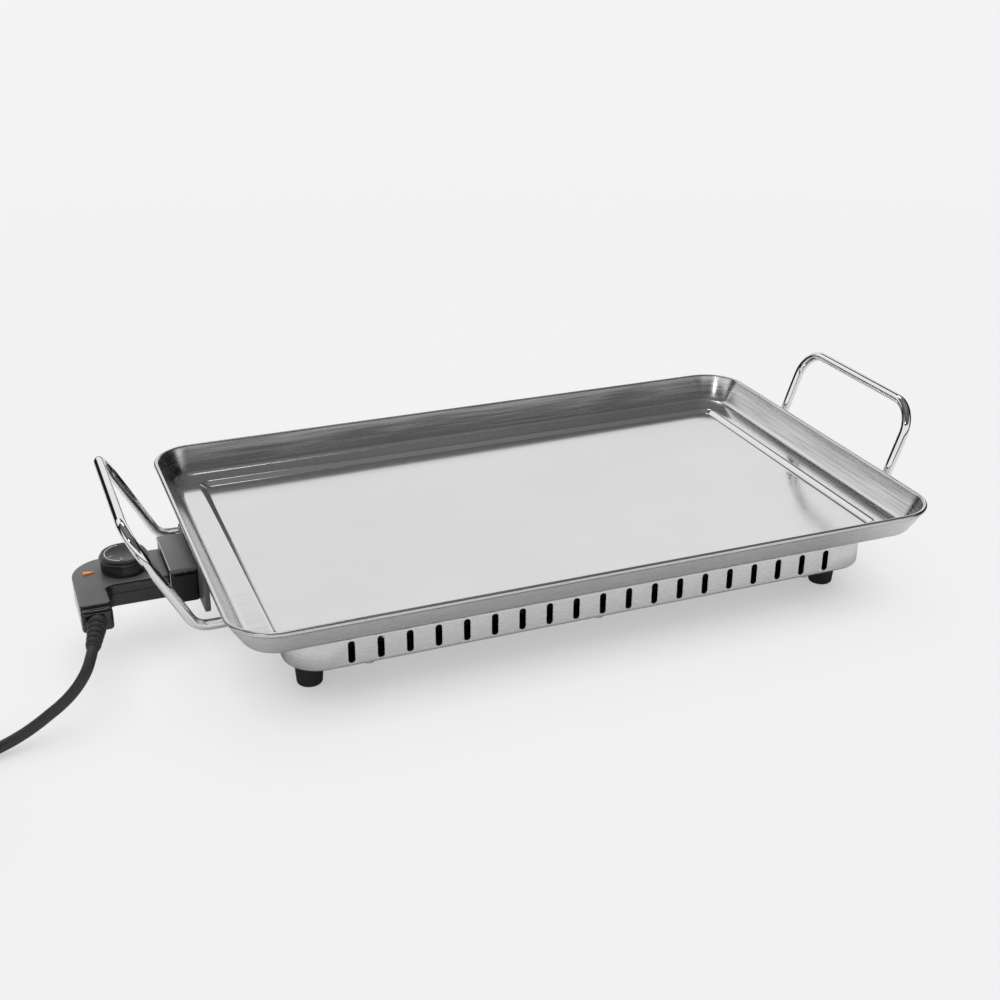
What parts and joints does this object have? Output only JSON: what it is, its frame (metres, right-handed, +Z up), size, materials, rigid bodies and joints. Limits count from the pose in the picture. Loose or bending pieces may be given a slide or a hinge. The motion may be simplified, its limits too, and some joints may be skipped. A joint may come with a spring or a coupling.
{
  "type": "electric griddle",
  "caption": "Rectangular electric griddle: a flared steel pan on a slotted base frame, two wire handles, and a plug-in thermostat with dial, cord and coil.",
  "frame": {"origin": "middle of the object's outline, with the thermostat plugged in, at the height of the feet's undersides", "axes": "+X along the pan, away from the thermostat; +Y to the back; +Z up"},
  "size_m": [0.8039, 0.4495, 0.1185],
  "materials": {
    "pan_steel": "polished, lightly scratched",
    "brushed_steel": "brushed along its length",
    "zinc_steel": "bright zinc plate",
    "aluminium": "mill finish",
    "element_steel": "heat-darkened tube",
    "foot_rubber": "matte",
    "chrome": "polished",
    "dark_plastic": "fine satin grain",
    "black_plastic": "satin",
    "brass": "plain",
    "ceramic": "matte",
    "amber_lens": "clear moulded",
    "lamp_glass": "clear",
    "lead_sheath": "plain",
    "cord_rubber": "satin",
    "tie": "plain"
  },
  "bodies": {
    "griddle": {"griddle_pan": "pan_steel", "body_shell": "brushed_steel", "base_frame": "brushed_steel", "frame_screws": "zinc_steel", "frame_nuts": "zinc_steel", "spreader_plate": "aluminium", "heating_element": "element_steel", "element_clamps": "zinc_steel", "clamp_nuts": "zinc_steel", "heat_reflector": "aluminium", "bottom_cover": "zinc_steel", "cover_screws": "zinc_steel", "foot_front_left": "foot_rubber", "foot_front_right": "foot_rubber", "foot_back_left": "foot_rubber", "foot_back_right": "foot_rubber", "foot_screws": "zinc_steel", "foot_nuts": "zinc_steel", "handle_left": "chrome", "handle_right": "chrome", "handle_nuts": "zinc_steel", "socket_mount": "dark_plastic", "mount_screws": "zinc_steel", "socket_shroud": "black_plastic", "shroud_screws": "zinc_steel", "power_pins": "brass", "probe_guide": "zinc_steel", "earth_tab": "brass"},
    "thermostat": {"lower_housing": "black_plastic", "upper_housing": "dark_plastic", "housing_screws": "zinc_steel", "contact_sleeves": "brass", "earth_spring": "brass", "probe_rod": "element_steel", "switch_frame": "zinc_steel", "fixed_contact": "brass", "moving_contact": "brass", "bimetal_strip": "brass", "insulator_stack": "ceramic", "indicator_lens": "amber_lens", "neon_lamp": "lamp_glass", "inner_leads": "lead_sheath", "cord_clamp": "black_plastic", "clamp_screws": "zinc_steel", "strain_relief": "cord_rubber", "power_cord": "cord_rubber", "cord_coil": "cord_rubber", "coil_tie": "tie", "cord_tail": "cord_rubber", "plug_body": "cord_rubber", "plug_pins": "chrome"},
    "dial": {"dial_spindle": "brass", "dial_knob": "black_plastic", "dial_cap": "dark_plastic"},
    "adjuster": {"adjusting_pin": "element_steel"}
  },
  "joints": [
    {"name": "thermostat_pull", "type": "slide", "parent": "griddle", "child": "thermostat", "axis": [-1, 0, 0], "range_m": [0, 0.08]},
    {"name": "dial_turn", "type": "hinge", "parent": "thermostat", "child": "dial", "pos_m": [-0.26919, 0, 0.054], "axis": [0, 0, -1], "range_deg": [0, 270]},
    {"name": "adjuster_travel", "type": "slide", "parent": "thermostat", "child": "adjuster", "axis": [0, 0, -1], "range_m": [0, 0.0007]}
  ],
  "couplings": [
    {"joint": "adjuster_travel", "follows": "dial_turn", "m_per_rad": 0.00014854}
  ]
}
